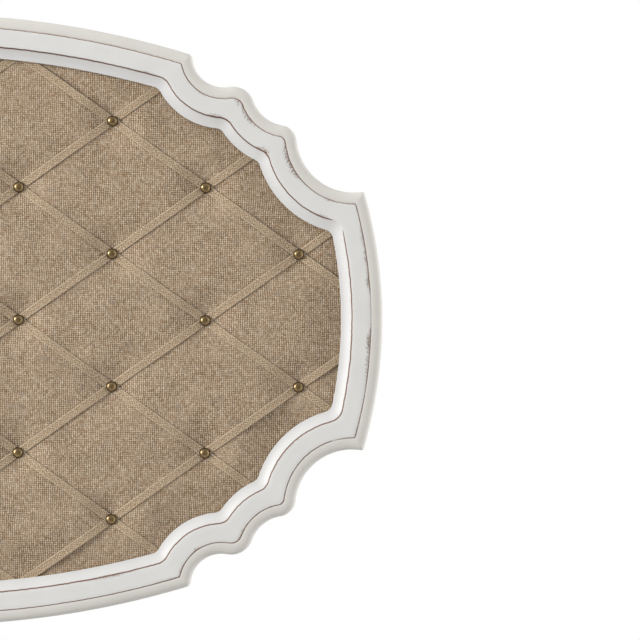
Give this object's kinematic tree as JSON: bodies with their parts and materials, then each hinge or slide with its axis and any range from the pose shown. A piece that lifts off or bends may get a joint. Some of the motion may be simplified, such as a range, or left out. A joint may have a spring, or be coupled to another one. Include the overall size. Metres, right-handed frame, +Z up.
{
  "type": "french memo board",
  "caption": "Wall memo board: scalloped, moulded frame round a padded burlap field with a tacked diamond lattice of ribbon that holds notes and photos; hangs from two D rings.",
  "frame": {"origin": "on the wall plane that the bumpers touch, behind the middle of the board", "axes": "+X to the viewer's right, +Y into the wall, +Z up; the face looks along -Y"},
  "size_m": [0.9166, 0.0353, 0.6118],
  "materials": {
    "painted_fibreboard": "off-white satin paint, rubbed through to brown along the edges",
    "burlap": "natural jute, open plain weave",
    "burlap_ribbon": "fine jute tape with folded edges",
    "batting": "polyester wadding",
    "fibreboard": "raw medium-density fibreboard",
    "hardboard": "smooth-faced hardboard",
    "antique_brass": "antiqued, darkened at the rim",
    "zinc_steel": "bright zinc plate",
    "rubber": "matte moulded rubber"
  },
  "bodies": {
    "board": {"top_rail": "painted_fibreboard", "bottom_rail": "painted_fibreboard", "left_stile": "painted_fibreboard", "right_stile": "painted_fibreboard", "burlap_cover": "burlap", "padding": "batting", "panel_core": "fibreboard", "back_panel": "hardboard", "ribbon_rising_1": "burlap_ribbon", "ribbon_rising_2": "burlap_ribbon", "ribbon_rising_3": "burlap_ribbon", "ribbon_rising_4": "burlap_ribbon", "ribbon_rising_5": "burlap_ribbon", "ribbon_rising_6": "burlap_ribbon", "ribbon_falling_1": "burlap_ribbon", "ribbon_falling_2": "burlap_ribbon", "ribbon_falling_3": "burlap_ribbon", "ribbon_falling_4": "burlap_ribbon", "ribbon_falling_5": "burlap_ribbon", "ribbon_falling_6": "burlap_ribbon", "tack_1": "antique_brass", "tack_2": "antique_brass", "tack_3": "antique_brass", "tack_4": "antique_brass", "tack_5": "antique_brass", "tack_6": "antique_brass", "tack_7": "antique_brass", "tack_8": "antique_brass", "tack_9": "antique_brass", "tack_10": "antique_brass", "tack_11": "antique_brass", "tack_12": "antique_brass", "tack_13": "antique_brass", "tack_14": "antique_brass", "tack_15": "antique_brass", "tack_16": "antique_brass", "tack_17": "antique_brass", "tack_18": "antique_brass", "tack_19": "antique_brass", "tack_20": "antique_brass", "tack_21": "antique_brass", "tack_22": "antique_brass", "tack_23": "antique_brass", "tack_24": "antique_brass", "tack_25": "antique_brass", "tack_26": "antique_brass", "tack_27": "antique_brass", "tack_28": "antique_brass", "panel_screw_top": "zinc_steel", "panel_screw_bottom": "zinc_steel", "panel_screw_left": "zinc_steel", "panel_screw_right": "zinc_steel", "hanger_screw_left": "zinc_steel", "hanger_screw_right": "zinc_steel", "hanger_strap_left": "zinc_steel", "hanger_strap_right": "zinc_steel", "bumper_left": "rubber", "bumper_right": "rubber"},
    "left_ring": {"d_ring_left": "zinc_steel"},
    "right_ring": {"d_ring_right": "zinc_steel"}
  },
  "joints": [
    {"name": "left_ring_swing", "type": "hinge", "parent": "board", "child": "left_ring", "pos_m": [-0.43753, -0.00345, 0.092], "axis": [1, 0, 0], "range_deg": [0, 176]},
    {"name": "right_ring_swing", "type": "hinge", "parent": "board", "child": "right_ring", "pos_m": [0.43753, -0.00345, 0.092], "axis": [1, 0, 0], "range_deg": [0, 176]}
  ]
}
